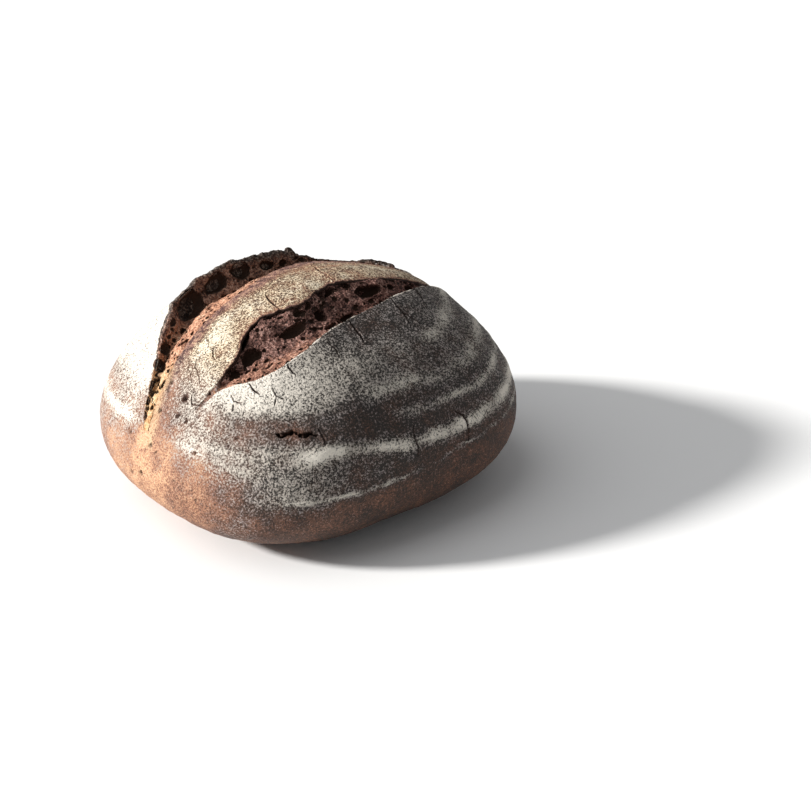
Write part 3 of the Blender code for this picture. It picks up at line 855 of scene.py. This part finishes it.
def speckle(tree, where, size, detail=2.0, roughness=0.5):
    """Noise of about 0 to 1 in grains of the given size."""
    node = add_node(tree, "ShaderNodeTexNoise",
                    {"Vector": where, "Scale": 1 / size, "Detail": detail, "Roughness": roughness})
    return node.outputs["Fac"]


def attribute(tree, name):
    """A mesh attribute."""
    return add_node(tree, "ShaderNodeAttribute", attribute_name=name).outputs["Fac"]


def spread(tree, value, strength):
    """Noise turned to swing about 0 by the given strength."""
    return maths(tree, "MULTIPLY", maths(tree, "SUBTRACT", value, 0.5), strength)


def total(tree, first, *others):
    """The sum of several values."""
    for other in others:
        first = maths(tree, "ADD", first, other)
    return first


def crust_material():
    """Baked rye crust: matt, from golden to near black, with grains of pale flour caught on its roughness."""
    tree, shader, material = new_material("floured_rye_crust")
    where = add_node(tree, "ShaderNodeTexCoord").outputs["Object"]
    flour, bake, recess_shade = attribute(tree, "flour"), attribute(tree, "bake"), attribute(tree, "recess_shade")
    torn, toasted, hidden = attribute(tree, "torn"), attribute(tree, "toasted"), attribute(tree, "hidden")
    golden = attribute(tree, "golden")
    grains = speckle(tree, where, 1.15 * MM, 3.0, 0.7)
    fine = speckle(tree, where, 0.5 * MM, 1.0)
    blots = speckle(tree, where, 3.6 * MM, 3.0)
    patches = speckle(tree, where, 12 * MM, 3.0)
    shade = total(tree, bake, spread(tree, patches, 0.5), spread(tree, grains, -1.8), spread(tree, fine, -0.9))
    bare = ramp(tree, shade, [(0.0, "#dcb48e"), (0.2, "#ba8c6c"), (0.42, "#8a5f4b"), (0.64, "#5a3f32"),
                              (0.84, "#3f3028"), (1.0, "#292522")])
    purple = ramp(tree, maths(tree, "ADD", grains, spread(tree, blots, 0.8)),
                  [(0.3, "#35221f"), (0.45, "#6f4f49"), (0.6, "#a67f6d"), (0.75, "#cba88a")])
    bare = mix(tree, smooth_step(tree, total(tree, torn, spread(tree, blots, 1.2)), 0.2, 0.7), bare, purple)
    cover = total(tree, flour, spread(tree, patches, 0.4), spread(tree, blots, 0.5), spread(tree, grains, 2.6),
                  spread(tree, fine, 0.9))
    dusted = smooth_step(tree, cover, 0.34, 0.8)
    dusted = maths(tree, "MULTIPLY", dusted, smooth_step(tree, flour, 0.0, 0.1))
    powder = ramp(tree, total(tree, flour, spread(tree, fine, 0.5)),
                  [(0.0, "#8e7f7c"), (0.3, "#a59b9a"), (0.6, "#c4bcb1"), (0.9, "#ebe4d8")])
    cream = ramp(tree, total(tree, flour, spread(tree, grains, 1.5)),
                 [(0.05, "#94704f"), (0.35, "#cba67c"), (0.62, "#e4cfae"), (0.95, "#ebe2d0")])
    powder = mix(tree, toasted, powder, cream)
    skin_colour = mix(tree, maths(tree, "MULTIPLY", dusted, 0.92), bare, powder)
    skin_colour = mix(tree, smooth_step(tree, total(tree, golden, spread(tree, grains, 1.4)), 0.3, 1.0), skin_colour,
                      ramp(tree, grains, [(0.3, "#84583f"), (0.45, "#b78f6c"), (0.65, "#d2ba99")]))
    # Painted shade: the cracks, tear and pits are darkened towards near black.
    skin_colour = mix(tree, recess_shade, skin_colour, colour("#2a1c16"))
    skin_colour = mix(tree, smooth_step(tree, hidden, 0.0, 0.5), skin_colour, colour("#33211a"))
    height = total(tree, maths(tree, "MULTIPLY", grains, 0.6), maths(tree, "MULTIPLY", fine, 0.25),
                   maths(tree, "MULTIPLY", dusted, 0.2))
    bump = add_node(tree, "ShaderNodeBump", {"Height": height, "Strength": 1.0, "Distance": 0.9 * MM})
    tree.links.new(skin_colour, shader.inputs["Base Color"])
    tree.links.new(maths(tree, "MULTIPLY_ADD", dusted, 0.25, 0.62), shader.inputs["Roughness"])
    tree.links.new(bump.outputs["Normal"], shader.inputs["Normal"])
    shader.inputs["Specular IOR Level"].default_value = 0.3
    return material


def crumb_material(name, stops, warm, warm_until, char_from):
    """Torn rye crumb: open, granular and matt, toasted beside the crust and scorched on the ear's rim, with shade
    painted into its bubbles.
    """
    tree, shader, material = new_material(name)
    where = add_node(tree, "ShaderNodeTexCoord").outputs["Object"]
    through, hollow_shade, golden = attribute(tree, "through"), attribute(tree, "hollow_shade"), attribute(tree, "golden")
    grains = speckle(tree, where, 1.2 * MM, 2.0, 0.65)
    blots = speckle(tree, where, 3.5 * MM, 2.0)
    patches = speckle(tree, where, 9 * MM, 3.0)
    tone = total(tree, 0.45, spread(tree, patches, 0.8), spread(tree, blots, 0.9), spread(tree, grains, 1.8))
    body = ramp(tree, tone, [(0.1, stops[0]), (0.35, stops[1]), (0.6, stops[2]), (0.9, stops[3])])
    toast = ramp(tree, tone, [(0.1, warm[0]), (0.4, warm[1]), (0.65, warm[2]), (0.9, warm[3])])
    pale = ramp(tree, tone, [(0.1, "#95683f"), (0.4, "#c2966a"), (0.65, "#d0af88"), (0.9, "#dfcaa9")])
    toast = mix(tree, smooth_step(tree, golden, 0.7, 1.0), toast, pale)
    edge_at = total(tree, through, spread(tree, blots, 0.5), maths(tree, "MULTIPLY", golden, -0.42))
    warmth = maths(tree, "MULTIPLY", smooth_step(tree, edge_at, warm_until, warm_until - 0.16),
                   maths(tree, "MULTIPLY_ADD", attribute(tree, "scorch"), -0.65, 1.0))
    body = mix(tree, warmth, body, toast)
    if char_from:
        scorched = ramp(tree, total(tree, grains, spread(tree, blots, 0.5)),
                        [(0.35, "#211915"), (0.5, "#463a34"), (0.6, "#6a5f57"), (0.72, "#a0968c")])
        rim_at = total(tree, through, spread(tree, blots, 0.25), maths(tree, "MULTIPLY", golden, -0.2),
                       maths(tree, "MULTIPLY", attribute(tree, "scorch"), 0.1))
        body = mix(tree, smooth_step(tree, rim_at, char_from, char_from + 0.1), body, scorched)
    # Painted shade: the insides of the bubbles are darkened to a near-black brown.
    body = mix(tree, maths(tree, "MULTIPLY", hollow_shade, 0.97), body, colour("#3a281d"))
    height = maths(tree, "MULTIPLY", total(tree, grains, blots), maths(tree, "SUBTRACT", 1.0, hollow_shade))
    bump = add_node(tree, "ShaderNodeBump", {"Height": height, "Strength": 1.0, "Distance": 0.9 * MM})
    tree.links.new(body, shader.inputs["Base Color"])
    tree.links.new(bump.outputs["Normal"], shader.inputs["Normal"])
    shader.inputs["Roughness"].default_value = 0.8
    shader.inputs["Specular IOR Level"].default_value = 0.3
    return material


def floor_material():
    """Matt white studio floor."""
    tree, shader, material = new_material("studio_floor")
    shader.inputs["Base Color"].default_value = colour("#f2f2f2")
    shader.inputs["Roughness"].default_value = 0.9
    shader.inputs["Specular IOR Level"].default_value = 0.1
    return material


# ---------------------------------------------------------------- the studio
FLOOR_SIZE = 8.0
VIEW_TURN = math.radians(-38)
VIEW_RISE = math.radians(26)
VIEW_DISTANCE = 0.9368
VIEW_LOOK = Vector((0, 0, 0.05)) + Vector(CENTRE)
LENS_SHIFT = (0.12435, -0.00522)
SUN_FROM = (-0.857, 0.516)
# The low sun and a broad soft light over it, as (name, degrees up, strength, degrees wide, colour).
LAMPS = [("sun", 24.4, 5.8, 7, (1.0, 0.985, 0.96)), ("softbox", 55, 0.8, 60, (1.0, 1.0, 1.0))]


def make_studio():
    """The floor, the low sun from the back left, the soft fill, and the camera."""
    bm = bmesh.new()
    bmesh.ops.create_grid(bm, x_segments=1, y_segments=1, size=FLOOR_SIZE / 2)
    mesh = bpy.data.meshes.new("floor")
    bm.to_mesh(mesh)
    bm.free()
    mesh.materials.append(floor_material())
    floor = bpy.data.objects.new("floor", mesh)
    bpy.context.scene.collection.objects.link(floor)

    for name, rise, energy, width, tint in LAMPS:
        lamp = bpy.data.lights.new(name, "SUN")
        lamp.energy = energy
        lamp.angle = math.radians(width)
        lamp.color = tint
        light = bpy.data.objects.new(name, lamp)
        bpy.context.scene.collection.objects.link(light)
        level = math.cos(math.radians(rise))
        towards = Vector((-SUN_FROM[0] * level, -SUN_FROM[1] * level, -math.sin(math.radians(rise))))
        light.rotation_euler = towards.to_track_quat("-Z", "Y").to_euler()

    world = bpy.data.worlds.new("studio")
    bpy.context.scene.world = world
    world.use_nodes = True
    sky = world.node_tree.nodes["Background"]
    sky.inputs["Color"].default_value = (0.97, 0.985, 1.0, 1)
    sky.inputs["Strength"].default_value = 0.27

    bpy.context.scene.view_settings.view_transform = "Standard"
    data = bpy.data.cameras.new("camera")
    data.lens = 70
    data.sensor_width = 36
    camera = bpy.data.objects.new("camera", data)
    bpy.context.scene.collection.objects.link(camera)
    level = math.cos(VIEW_RISE)
    back = Vector((math.sin(VIEW_TURN) * level, -math.cos(VIEW_TURN) * level, math.sin(VIEW_RISE)))
    data.shift_x, data.shift_y = LENS_SHIFT
    camera.location = VIEW_LOOK + back * VIEW_DISTANCE
    camera.rotation_euler = (-back).to_track_quat("-Z", "Y").to_euler()
    bpy.context.scene.camera = camera


def main():
    make_crust(crust_material())
    make_crumb("crumb_front", (FRONT_LIP, STRIP_FRONT), FRONT_CRUMB, FRONT_DEPTH, None, (-83, 92), FRONT_BUBBLES,
               FRONT_LUMPS, 260, 11,
               crumb_material("torn_rye_crumb", ("#1d1310", "#4e322b", "#835e54", "#bb988c"),
                              ("#3a241c", "#7b5242", "#ab7d68", "#d6b09a"), 0.42, 0))
    make_crumb("crumb_back", (STRIP_BACK, EAR_LIP), BACK_CRUMB, BACK_DEPTH, EAR_HEIGHT, (-109, 88), BACK_BUBBLES,
               [], 260, 23,
               crumb_material("scorched_rye_crumb", ("#2c1e19", "#60453b", "#93715f", "#c4a596"),
                              ("#5f3f33", "#a5735a", "#cd9c7e", "#e4c4a8"), 0.5, 0.68))
    make_studio()


main()
